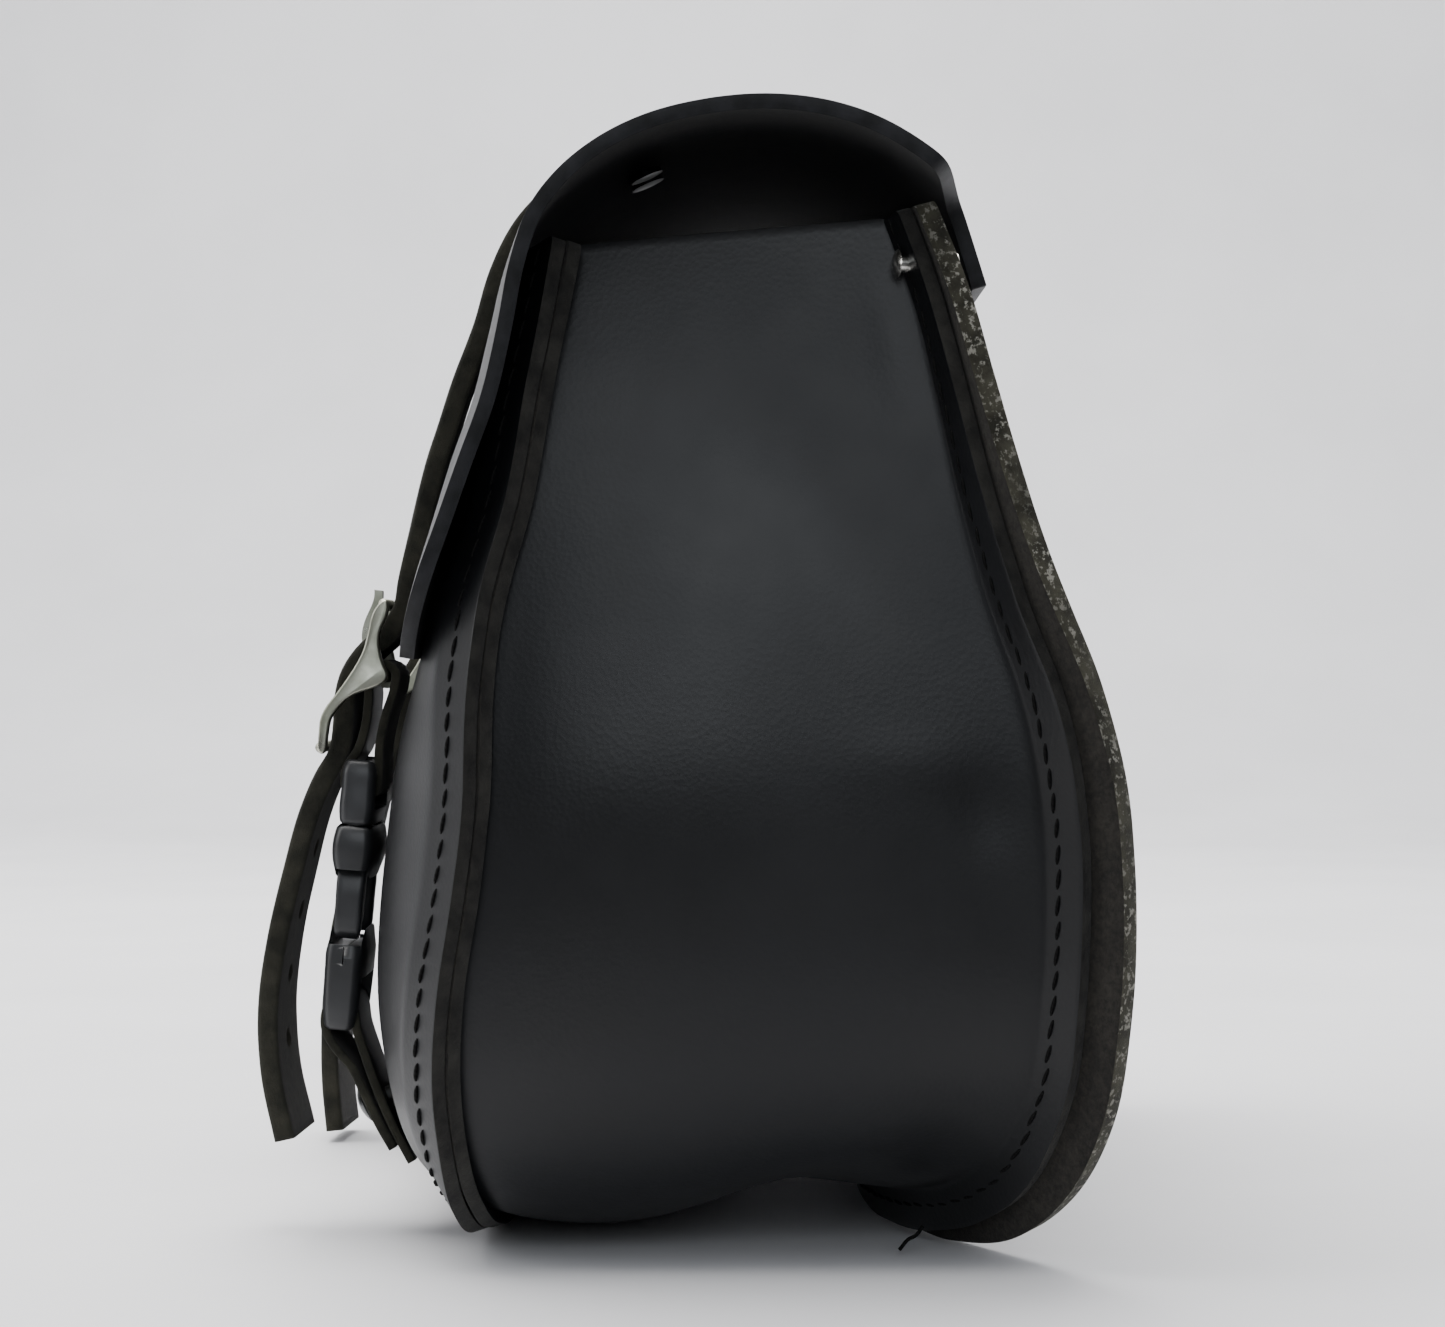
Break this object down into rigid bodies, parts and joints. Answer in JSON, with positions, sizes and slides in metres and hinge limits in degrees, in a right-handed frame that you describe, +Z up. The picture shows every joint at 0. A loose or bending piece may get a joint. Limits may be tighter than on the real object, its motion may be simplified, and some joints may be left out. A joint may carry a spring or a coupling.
{
  "type": "saddlebag",
  "caption": "Leather motorcycle saddlebag with a domed front panel, sewn gusset, stiff back panel, wrap-over lid, and buckled straps held by quick-release clips.",
  "frame": {"origin": "on the ground under the middle of the bag's bounding box", "axes": "+X along the bag, -Y towards the buckled front, +Y towards the motorcycle, +Z up"},
  "size_m": [0.305, 0.1903, 0.2531],
  "materials": {
    "lid_leather": "black grained leather, satin",
    "panel_leather": "black grained leather, satin",
    "gusset_leather": "black grained leather, satin",
    "back_leather": "stiff black leather with a raw fuzzy edge",
    "strap_leather": "black strap leather with brown-black cut edges",
    "buckle_metal": "polished nickel plate",
    "rivet_metal": "polished nickel plate",
    "eyelet_metal": "satin nickel plate",
    "clip_plastic": "moulded black plastic, fine matt texture"
  },
  "bodies": {
    "bag": {"front_panel": "panel_leather", "gusset": "gusset_leather", "back_panel": "back_leather", "hinge_strip": "lid_leather", "mount_eyelets": "eyelet_metal", "hinge_rivets": "rivet_metal", "anchor_rivets": "rivet_metal", "seam_rivets": "rivet_metal", "clip_female_near": "clip_plastic", "anchor_strap_near": "strap_leather", "clip_female_far": "clip_plastic", "anchor_strap_far": "strap_leather"},
    "lid": {"lid": "lid_leather", "lid_strap_near": "strap_leather", "lid_strap_far": "strap_leather", "lid_strap_rivets": "rivet_metal"},
    "near_release": {"clip_male_near": "clip_plastic", "buckle_tab_near": "strap_leather"},
    "near_outer_arm": {"clip_arm_outer_near": "clip_plastic"},
    "near_inner_arm": {"clip_arm_inner_near": "clip_plastic"},
    "near_frame": {"buckle_frame_near": "buckle_metal"},
    "near_tongue": {"buckle_tongue_near": "buckle_metal"},
    "far_release": {"clip_male_far": "clip_plastic", "buckle_tab_far": "strap_leather"},
    "far_outer_arm": {"clip_arm_outer_far": "clip_plastic"},
    "far_inner_arm": {"clip_arm_inner_far": "clip_plastic"},
    "far_frame": {"buckle_frame_far": "buckle_metal"},
    "far_tongue": {"buckle_tongue_far": "buckle_metal"}
  },
  "joints": [
    {"name": "lid_hinge", "type": "hinge", "parent": "bag", "child": "lid", "pos_m": [0, 0.0576, 0.2318], "axis": [-1, 0, 0], "range_deg": [0, 110], "deforming": ["lid_strap_near", "lid_strap_far"]},
    {"name": "near_clip_pull", "type": "slide", "parent": "bag", "child": "near_release", "axis": [0, 0.0819, 0.9966], "range_m": [0, 0.03]},
    {"name": "near_outer_arm_squeeze", "type": "hinge", "parent": "near_release", "child": "near_outer_arm", "pos_m": [0.0864, -0.0745, 0.09041], "axis": [0, 0.9966, -0.0819], "range_deg": [0, 7], "stiffness_Nm_per_rad": 0.05},
    {"name": "near_inner_arm_squeeze", "type": "hinge", "parent": "near_release", "child": "near_inner_arm", "pos_m": [0.0636, -0.0745, 0.09041], "axis": [0, 0.9966, -0.0819], "range_deg": [-7, 0], "stiffness_Nm_per_rad": 0.05},
    {"name": "near_frame_swing", "type": "hinge", "parent": "near_release", "child": "near_frame", "pos_m": [0.075, -0.0683, 0.1266], "axis": [1, 0, 0], "range_deg": [-14, 6]},
    {"name": "near_tongue_pivot", "type": "hinge", "parent": "near_frame", "child": "near_tongue", "pos_m": [0.075, -0.0683, 0.1266], "axis": [1, 0, 0], "range_deg": [0, 95]},
    {"name": "far_clip_pull", "type": "slide", "parent": "bag", "child": "far_release", "axis": [0, 0.0819, 0.9966], "range_m": [0, 0.03]},
    {"name": "far_outer_arm_squeeze", "type": "hinge", "parent": "far_release", "child": "far_outer_arm", "pos_m": [-0.0864, -0.0745, 0.09041], "axis": [0, -0.9966, 0.0819], "range_deg": [0, 7], "stiffness_Nm_per_rad": 0.05},
    {"name": "far_inner_arm_squeeze", "type": "hinge", "parent": "far_release", "child": "far_inner_arm", "pos_m": [-0.0636, -0.0745, 0.09041], "axis": [0, -0.9966, 0.0819], "range_deg": [-7, 0], "stiffness_Nm_per_rad": 0.05},
    {"name": "far_frame_swing", "type": "hinge", "parent": "far_release", "child": "far_frame", "pos_m": [-0.075, -0.0683, 0.1266], "axis": [1, 0, 0], "range_deg": [-14, 6]},
    {"name": "far_tongue_pivot", "type": "hinge", "parent": "far_frame", "child": "far_tongue", "pos_m": [-0.075, -0.0683, 0.1266], "axis": [1, 0, 0], "range_deg": [0, 95]}
  ],
  "couplings": [
    {"joint": "near_inner_arm_squeeze", "follows": "near_outer_arm_squeeze", "ratio": -1},
    {"joint": "far_inner_arm_squeeze", "follows": "far_outer_arm_squeeze", "ratio": -1}
  ]
}
